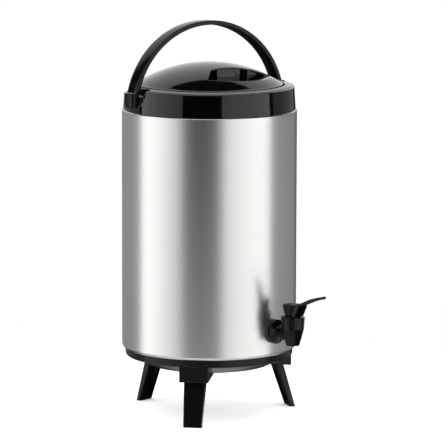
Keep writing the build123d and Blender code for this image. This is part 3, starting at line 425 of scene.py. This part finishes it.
@dataclass
class Collar:
    """Top collar whose shoulder is cut down to a ledge behind the handle.

    Args:
        frame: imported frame.
        palette: finishes.
        back_azimuth: square to the handle, towards the back, degrees.
        fall_mm: how much lower the outer edge is behind the handle.
        fall_start: degrees from the back where the edge begins to fall.
        fall_end: degrees from the back where it is down.
        ledge_mm: radii between which the ledge's inner wall stands.
        ledge_level_mm: the ledge's height.
        cut_above_mm: height above which the solid is cut down.
        shell_top_mm: height of the shell's lip, under the outer wall.
        wall_mm: radius outside which a point is on the outer wall.
        inset_mm: how far the outer wall stands in from the solid's.
        slope_mm: an edge that runs further outwards than this crosses the shoulder.
        slope_points: points added along such an edge.
        crease_turn: degrees from which a border of two of the solid's faces stays sharp.
    """

    frame: Dict[str, Any]
    palette: Palette
    back_azimuth: float = 80.0
    fall_mm: float = 11.5
    fall_start: float = 95.0
    fall_end: float = 91.5
    ledge_mm: Span = (117.5, 120.5)
    ledge_level_mm: float = 495.7
    cut_above_mm: float = 499.0
    shell_top_mm: float = 470.9
    wall_mm: float = 127.0
    inset_mm: float = 1.2
    slope_mm: float = 6.0
    slope_points: int = 5
    crease_turn: float = 9.0

    def share_down(self, place: Vector) -> float:
        """Share of the fall at a point of the shoulder.

        Args:
            place: the point, in the part's frame.

        Returns:
            0 where the shoulder keeps its height, 1 where it is down.
        """
        away = math.degrees(math.atan2(place.y, place.x)) - self.back_azimuth
        turn = abs((away + 180.0) % 360.0 - 180.0)
        inner, outer = self.ledge_mm
        reach = (math.hypot(place.x, place.y) / MM - inner) / (outer - inner)
        around = (self.fall_start - turn) / (self.fall_start - self.fall_end)
        return ease(around) * ease(reach)

    def spans_shoulder(self, edge: bmesh.types.BMEdge) -> bool:
        """Tell whether an edge runs across the shoulder's slope.

        Args:
            edge: edge of the merged copy.

        Returns:
            True for an edge from the well's rim to the outer rounding.
        """
        reaches = [math.hypot(vert.co.x, vert.co.y) / MM for vert in edge.verts]
        lowest = min(vert.co.z for vert in edge.verts) / MM
        return lowest > self.cut_above_mm and max(reaches) - min(reaches) > self.slope_mm

    def build(self) -> bpy.types.Object:
        """Copy the solid and cut its shoulder down.

        Returns:
            The piece that stands for the solid.
        """
        shape = bmesh.new()
        shape.from_mesh(self.frame["nodes"]["top_collar"].data)
        # The solid's faces come unjoined, so their borders are marked before they are merged.
        for edge in shape.edges:
            edge.smooth = not edge.is_boundary
        bmesh.ops.remove_doubles(shape, verts=shape.verts[:], dist=TOUCH)
        rays = [edge for edge in shape.edges if self.spans_shoulder(edge)]
        bmesh.ops.subdivide_edges(shape, edges=rays, cuts=self.slope_points)
        for vert in shape.verts:
            reach = math.hypot(vert.co.x, vert.co.y)
            if vert.co.z < self.shell_top_mm * MM:
                continue
            down = max(self.fall_mm * MM, vert.co.z - self.ledge_level_mm * MM)
            if vert.co.z > self.cut_above_mm * MM:
                vert.co.z -= down * self.share_down(vert.co)
            if reach > self.wall_mm * MM:
                vert.co.xy *= 1.0 - self.inset_mm * MM / reach
        bmesh.ops.recalc_face_normals(shape, faces=shape.faces[:])
        crease(shape, [edge for edge in shape.edges if not edge.smooth], self.crease_turn)
        return stand_in(shape, "collar", "top_collar", "drum",
                        [self.palette.material(GLOSS_ABS)])


@dataclass
class CarryHandle:
    """Arched strap with rounded ends, and a boss and a cap at each pivot.

    Args:
        palette: finishes.
        azimuth: of the pivot line from the part's X, degrees.
        setback_mm: pivot line behind the drum's axis.
        pivot_level_mm: height of the pivots.
        lean: degrees towards the back, as it stands.
        half_span_mm: arch's ellipse, outside, along the pivot line.
        crown_mm: the same upwards.
        pivot_rise_mm: pivots above the ellipse's centre.
        strap_mm: width of the strap.
        thickness: of the strap, as a share of the ellipse.
        steps: straight pieces in the arch.
        end_mm: strap's end below the pivots.
        tip_mm: height of the strap's end in which its corners lie.
        end_flat_mm: half of what stays flat at the rounded end.
        end_segments: faces across a rounded corner of the end.
        edge_mm: rounding of its edges.
        edge_segments: faces across that rounding.
        edge_turn: degrees between two faces from which an edge is rounded.
        boss_inside_mm: axis to the boss's inner face.
        boss_mm: boss's radius.
        bore_mm: radius of the hole for the pin.
        boss_root_mm: how far the boss goes into the strap.
        boss_steps: straight pieces round the boss.
        cap_mm: reach from the axis to the cap's root and to its face, and half its depth.
        cap_levels_mm: cap's lower and upper face from the pivot.
        cap_corner: exponent of the cap's rounded outline, seen from above.
        cap_steps: straight pieces in that outline.
        crease_turn: degrees between two faces from which an edge stays sharp.
    """

    palette: Palette
    azimuth: float = -10.0
    setback_mm: float = 9.7
    pivot_level_mm: float = 492.0
    lean: float = 2.6
    half_span_mm: float = 144.9
    crown_mm: float = 134.0
    pivot_rise_mm: float = 21.0
    strap_mm: float = 23.5
    thickness: float = 0.051
    steps: int = 84
    end_mm: float = 12.0
    tip_mm: float = 2.0
    end_flat_mm: float = 0.3
    end_segments: int = 10
    edge_mm: float = 1.6
    edge_segments: int = 4
    edge_turn: float = 50.0
    boss_inside_mm: float = 134.2
    boss_mm: float = 11.4
    bore_mm: float = 4.2
    boss_root_mm: float = 1.0
    boss_steps: int = 48
    cap_mm: Tuple[float, float, float] = (141.0, 148.65, 12.0)
    cap_levels_mm: Span = (-10.4, 11.8)
    cap_corner: float = 3.6
    cap_steps: int = 40
    crease_turn: float = 40.0

    def arch(self) -> bmesh.types.BMesh:
        """Sweep the strap over the drum, from pivot to pivot.

        Returns:
            Closed shape about the ellipse's centre.
        """
        shape = bmesh.new()
        start = math.asin(self.pivot_rise_mm / self.crown_mm)
        rectangle(shape, (self.thickness, self.strap_mm * MM))
        middle = (1.0 - self.thickness / 2, 0.0, 0.0)
        bmesh.ops.translate(shape, vec=middle, verts=shape.verts[:])
        lift = Matrix.Rotation(-start, 3, "Y")
        bmesh.ops.rotate(shape, cent=(0, 0, 0), matrix=lift, verts=shape.verts[:])
        section = shape.verts[:] + shape.edges[:] + shape.faces[:]
        bmesh.ops.spin(shape, geom=section, cent=(0, 0, 0), axis=(0, -1, 0),
                       angle=math.pi - 2 * start, steps=self.steps)
        size = (self.half_span_mm * MM, 1.0, self.crown_mm * MM)
        bmesh.ops.scale(shape, vec=size, verts=shape.verts[:])
        bmesh.ops.recalc_face_normals(shape, faces=shape.faces[:])
        return shape

    def strap(self) -> bmesh.types.BMesh:
        """Lengthen the arch below its pivots and round its ends and edges.

        Returns:
            Closed shape about the ellipse's centre.
        """
        shape = self.arch()
        ends = sorted(shape.faces, key=lambda face: face.calc_center_median().z)[:2]
        for end in ends:
            grown = bmesh.ops.extrude_face_region(shape, geom=[end])
            tips = [item for item in grown["geom"] if isinstance(item, bmesh.types.BMVert)]
            bmesh.ops.translate(shape, vec=(0.0, 0.0, -self.end_mm * MM), verts=tips)
        inner = [end for end in ends if end.is_valid]
        bmesh.ops.delete(shape, geom=inner, context="FACES_ONLY")
        bmesh.ops.recalc_face_normals(shape, faces=shape.faces[:])
        highest = (self.pivot_rise_mm - self.end_mm + self.tip_mm) * MM
        corners = [edge for edge in shape.edges
                   if all(vert.co.z < highest for vert in edge.verts)
                   and abs(edge.verts[0].co.y - edge.verts[1].co.y) < TOUCH]
        corner_radius = (self.strap_mm / 2 - self.end_flat_mm) * MM
        round_off(shape, corners, corner_radius, self.end_segments)
        rims = [edge for edge in shape.edges if len(edge.link_faces) == 2
                and edge.calc_face_angle() > math.radians(self.edge_turn)]
        round_off(shape, rims, self.edge_mm * MM, self.edge_segments)
        return shape

    def boss(self, shape: bmesh.types.BMesh, side: int) -> None:
        """Add the ring between one end of the strap and the collar.

        Args:
            shape: shape about the ellipse's centre that gets it.
            side: 1 for the pivot along the pivot line, -1 for the other.
        """
        rise = self.pivot_rise_mm * MM
        inside = math.sqrt(1.0 - (self.pivot_rise_mm / self.crown_mm) ** 2) - self.thickness
        outer = inside * self.half_span_mm + self.boss_root_mm
        size = ((outer - self.boss_inside_mm) * MM, (self.boss_mm - self.bore_mm) * MM)
        corners = rectangle(shape, size)
        middle = ((outer + self.boss_inside_mm) / 2 * MM * side,
                  (self.boss_mm + self.bore_mm) / 2 * MM, rise)
        bmesh.ops.translate(shape, vec=middle, verts=corners)
        edges = dict.fromkeys(edge for vert in corners for edge in vert.link_edges)
        faces = dict.fromkeys(face for vert in corners for face in vert.link_faces)
        section = corners + list(edges) + list(faces)
        bmesh.ops.spin(shape, geom=section, cent=(0.0, 0.0, rise), axis=(1, 0, 0),
                       angle=2 * math.pi, steps=self.boss_steps, use_merge=True)

    def cap(self, shape: bmesh.types.BMesh, side: int) -> None:
        """Add the cushioned cap over one end of the strap.

        Args:
            shape: shape about the ellipse's centre that gets it.
            side: 1 for the pivot along the pivot line, -1 for the other.
        """
        others = set(shape.faces)
        root, face, depth = self.cap_mm
        low, high = (self.pivot_rise_mm + level for level in self.cap_levels_mm)
        outline = []
        for index in range(self.cap_steps + 1):
            turn = math.pi * (index / self.cap_steps - 0.5)
            out = math.cos(turn) ** (2 / self.cap_corner) if index % self.cap_steps else 0.0
            along = math.copysign(abs(math.sin(turn)) ** (2 / self.cap_corner), turn)
            place = Vector(((root + (face - root) * out) * side, depth * along, low)) * MM
            outline.append(shape.verts.new(place))
        bottom = shape.faces.new(outline)
        grown = bmesh.ops.extrude_face_region(shape, geom=[bottom])["geom"]
        top = [item for item in grown if isinstance(item, bmesh.types.BMVert)]
        bmesh.ops.translate(shape, vec=(0.0, 0.0, (high - low) * MM), verts=top)
        rims = dict.fromkeys(edge for vert in outline + top for edge in vert.link_edges
                             if abs(edge.verts[0].co.z - edge.verts[1].co.z) < TOUCH)
        round_off(shape, list(rims), self.edge_mm * MM, self.edge_segments, clamp=True)
        for plate in set(shape.faces) - others:
            plate.material_index = 1

    def build(self) -> bpy.types.Object:
        """Make the handle and set it on its pivots.

        Returns:
            The piece that stands for the solid.
        """
        shape = self.strap()
        for side in (-1, 1):
            self.boss(shape, side)
            self.cap(shape, side)
        bmesh.ops.remove_doubles(shape, verts=shape.verts[:], dist=TOUCH)
        bmesh.ops.recalc_face_normals(shape, faces=shape.faces[:])
        crease(shape, shape.edges[:], self.crease_turn)
        place = Matrix.Rotation(math.radians(self.azimuth), 4, "Z")
        place @= Matrix.Translation((0.0, self.setback_mm * MM, self.pivot_level_mm * MM))
        place @= Matrix.Rotation(math.radians(-self.lean), 4, "X")
        place @= Matrix.Translation((0.0, 0.0, -self.pivot_rise_mm * MM))
        bmesh.ops.transform(shape, matrix=place, verts=shape.verts[:])
        piece = stand_in(shape, "handle_strap", "carry_handle", "handle",
                         [self.palette.material(SMOOTH_PP), self.palette.material(SATIN_PP)])
        # Its mirror image would draw a dark arc on the lid that the photograph doesn't show.
        piece.visible_glossy = False
        return piece


@dataclass(frozen=True)
class Softbox:
    """An upright softbox that faces the drum's axis.

    Args:
        name: light's name.
        span: azimuths of its edges, degrees from the camera's side, positive to the right.
        levels: heights of its lower and upper edge, metres.
        distance: metres from the drum's axis.
        glow: brightness of its face at those two edges, smooth between them.
    """

    name: str
    span: Span
    levels: Span
    distance: float
    glow: Span


@dataclass(frozen=True)
class LevelPanel:
    """A level panel above the drum, or a card of light below it.

    Args:
        name: light's name.
        width: metres across the picture.
        reach: its two edges, metres from the drum's axis towards the camera.
        level: height, metres.
        glow: brightness of its face.
        upward: True if it shines up and not down.
    """

    name: str
    width: float
    reach: Span
    level: float
    glow: float
    upward: bool = False


SOFTBOXES: Tuple[Softbox, ...] = (
    # The steel's two bright bands, with the dark one between them.
    Softbox("left_softbox", (-98.0, -35.0), (-0.6, 2.2), 1.5, (2.15, 0.87)),
    Softbox("right_softbox", (16.0, 85.0), (-0.6, 2.2), 1.5, (1.17, 1.87)),
    # The grey towards the steel's outlines.
    Softbox("low_left", (-166.0, -104.0), (-0.65, 0.45), 2.0, (0.31, 0.34)),
    Softbox("low_right", (92.0, 152.0), (-0.65, 0.45), 2.0, (0.39, 0.29)),
    # The light that runs out over the lid's dome and the collar's shoulder.
    Softbox("back_panel", (148.0, 212.0), (0.47, 4.3), 2.7, (1.0, 1.0)),
    Softbox("back_left", (-148.0, -125.0), (0.65, 4.3), 2.7, (1.0, 1.0)),
    Softbox("back_right", (137.0, 148.0), (0.65, 4.3), 2.7, (1.0, 1.0)),
    # The dark band's lighter foot.
    Softbox("low_front", (-36.0, 17.0), (-0.65, 0.08), 1.5, (0.3, 0.3)),
)

LEVEL_PANELS: Tuple[LevelPanel, ...] = (
    # The thin light along the steel's rim and the collar's shoulder.
    LevelPanel("overhead", 2.4, (0.1, 1.3), 2.4, 1.6),
    # The line along the steel's hem and the grey of the pan's underside.
    LevelPanel("under_card", 0.44, (-0.03, 0.33), 0.003, 0.9, upward=True),
)


@dataclass
class Studio:
    """Floor, lights and the photograph's camera.

    Args:
        view_azimuth: direction from the drum to the camera, degrees in the part's frame.
        pitch: camera above the level, degrees.
        distance: camera to the point it was fitted to, metres.
        fitted_height: height of that point on the drum's axis, metres.
        fitted_pixel: where that point falls in the photograph.
        focal_pixels: focal length in pixels.
        roll: degrees that the object leans clockwise in the picture.
        sensor_mm: width of the camera's sensor.
        clip_end: how far the camera sees, metres.
        floor_radius: metres.
        floor_sides: straight pieces round the floor.
        floor_colour: sRGB hex.
        floor_roughness: of a dull painted board.
        floor_gloss: strength of its reflections.
        floor_glow: light that it gives off, which keeps the shadow faint.
        surround: brightness of the white all round.
        mirrored_surround: its brightness in reflections.
    """

    view_azimuth: float = -137.5
    pitch: float = 8.72
    distance: float = 6.235
    fitted_height: float = 0.300
    fitted_pixel: Span = (209.2, 218.7)
    focal_pixels: float = 4058.0
    roll: float = 0.16
    sensor_mm: float = 36.0
    clip_end: float = 100.0
    floor_radius: float = 0.62
    floor_sides: int = 128
    floor_colour: str = "F4F4F4"
    floor_roughness: float = 0.9
    floor_gloss: float = 0.1
    floor_glow: float = 0.3
    surround: float = 1.0
    mirrored_surround: float = 0.03

    def towards(self, azimuth: float, height: float, distance: float) -> Vector:
        """Point at an azimuth from the camera's side, positive to the right in the picture."""
        turn = math.radians(self.view_azimuth + azimuth)
        return Vector((math.cos(turn) * distance, math.sin(turn) * distance, height))

    def camera(self) -> None:
        """Place the camera so that the fitted point falls on its pixel."""
        rise = math.sin(math.radians(self.pitch)) * self.distance
        level = math.cos(math.radians(self.pitch)) * self.distance
        eye = self.towards(0.0, self.fitted_height + rise, level)
        middle = IMAGE_PIXELS / 2
        per_pixel = self.distance / self.focal_pixels
        aim = Vector((0.0, 0.0, self.fitted_height))
        forward = (aim - eye).normalized()
        right = forward.cross(Vector((0.0, 0.0, 1.0))).normalized()
        upward = right.cross(forward)
        aim += right * ((middle - self.fitted_pixel[0]) * per_pixel)
        aim -= upward * ((middle - self.fitted_pixel[1]) * per_pixel)
        data = bpy.data.cameras.new("photo_camera")
        data.sensor_width = self.sensor_mm
        data.lens = self.focal_pixels / IMAGE_PIXELS * self.sensor_mm
        data.clip_end = self.clip_end
        camera = bpy.data.objects.new("photo_camera", data)
        bpy.context.scene.collection.objects.link(camera)
        turn = (aim - eye).to_track_quat("-Z", "Y").to_matrix().to_4x4()
        lean = Matrix.Rotation(math.radians(self.roll), 4, "Z")
        camera.matrix_world = Matrix.Translation(eye) @ turn @ lean
        bpy.context.scene.camera = camera

    def panel(self, name: str, size: Span, place: Matrix, glow: Span) -> None:
        """Add a glowing panel that the camera does not see.

        Args:
            name: light's name.
            size: metres along its X and Y.
            place: where it stands; it shines along its -Z.
            glow: brightness of its face at the two ends of its X, smooth between them.
        """
        data = bpy.data.lights.new(name, "AREA")
        data.shape = "RECTANGLE"
        data.size, data.size_y = size
        data.energy = math.pi * size[0] * size[1]
        data.use_nodes = True
        tree = data.node_tree
        tree.nodes.clear()
        spot = add_node(tree, "ShaderNodeTexCoord")
        across = add_node(tree, "ShaderNodeSeparateXYZ", sockets={"Vector": spot.outputs["UV"]})
        strength = add_node(tree, "ShaderNodeMapRange", sockets={
            "Value": across.outputs["X"], "To Min": glow[0], "To Max": glow[1]})
        face = add_node(tree, "ShaderNodeEmission", sockets={
            "Strength": strength.outputs["Result"]})
        add_node(tree, "ShaderNodeOutputLight", sockets={"Surface": face.outputs["Emission"]})
        light = bpy.data.objects.new(name, data)
        bpy.context.scene.collection.objects.link(light)
        light.matrix_world = place
        light.visible_camera = False

    def softbox(self, box: Softbox) -> None:
        """Add an upright softbox.

        Args:
            box: the softbox.
        """
        width = 2 * box.distance * math.tan(math.radians(box.span[1] - box.span[0]) / 2)
        spot = self.towards(sum(box.span) / 2, sum(box.levels) / 2, box.distance)
        aim = Vector((-spot.x, -spot.y, 0.0))
        place = Matrix.Translation(spot) @ aim.to_track_quat("-Z", "Y").to_matrix().to_4x4()
        self.panel(box.name, (width, box.levels[1] - box.levels[0]), place, box.glow)

    def level_panel(self, flat: LevelPanel) -> None:
        """Add a level panel.

        Args:
            flat: the panel.
        """
        spot = self.towards(0.0, flat.level, sum(flat.reach) / 2)
        turn = Matrix.Rotation(math.radians(self.view_azimuth + 90.0), 4, "Z")
        if flat.upward:
            turn @= Matrix.Rotation(math.pi, 4, "X")
        size = (flat.width, flat.reach[1] - flat.reach[0])
        self.panel(flat.name, size, Matrix.Translation(spot) @ turn, (flat.glow, flat.glow))

    def floor(self) -> None:
        """Add a pale round floor under the legs."""
        mesh = bpy.data.meshes.new("floor")
        shape = bmesh.new()
        bmesh.ops.create_circle(shape, cap_ends=True, segments=self.floor_sides,
                                radius=self.floor_radius)
        shape.to_mesh(mesh)
        shape.free()
        disc = bpy.data.objects.new("floor", mesh)
        bpy.context.scene.collection.objects.link(disc)
        material = bpy.data.materials.new("pale_studio_floor")
        material.use_nodes = True
        shader = material.node_tree.nodes["Principled BSDF"]
        shader.inputs["Base Color"].default_value = linear(self.floor_colour)
        shader.inputs["Roughness"].default_value = self.floor_roughness
        shader.inputs["Specular IOR Level"].default_value = self.floor_gloss
        shader.inputs["Emission Color"].default_value = linear(WHITE)
        shader.inputs["Emission Strength"].default_value = self.floor_glow
        mesh.materials.append(material)
        # Its mirror image would whiten the foot of the steel and grey the base and legs.
        disc.visible_glossy = False

    def world(self) -> None:
        """Add a white surround, dim in reflections so that the softboxes shape the steel."""
        world = bpy.data.worlds.new("studio")
        bpy.context.scene.world = world
        world.use_nodes = True
        tree = world.node_tree
        tree.nodes.clear()
        path = add_node(tree, "ShaderNodeLightPath")
        open_sky = add_node(tree, "ShaderNodeBackground", sockets={
            "Color": linear(WHITE), "Strength": self.surround})
        mirrored = add_node(tree, "ShaderNodeBackground", sockets={
            "Color": linear(WHITE), "Strength": self.mirrored_surround})
        mixed = add_node(tree, "ShaderNodeMixShader", sockets={
            0: path.outputs["Is Glossy Ray"], 1: open_sky.outputs[0], 2: mirrored.outputs[0]})
        add_node(tree, "ShaderNodeOutputWorld", sockets={"Surface": mixed.outputs[0]})

    def build(self) -> None:
        """Set up camera, floor, surround and lights."""
        self.camera()
        self.floor()
        self.world()
        for box in SOFTBOXES:
            self.softbox(box)
        for flat in LEVEL_PANELS:
            self.level_panel(flat)
        bpy.context.scene.view_settings.view_transform = "Standard"


def main() -> None:
    """Load the solids, dress them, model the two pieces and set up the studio."""
    logging.basicConfig(level=logging.INFO, format="%(message)s")
    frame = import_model()
    palette = Palette()
    Dispenser(frame, palette).dress()
    Collar(frame, palette).build()
    CarryHandle(palette).build()
    Studio().build()


if __name__ == "__main__":
    main()
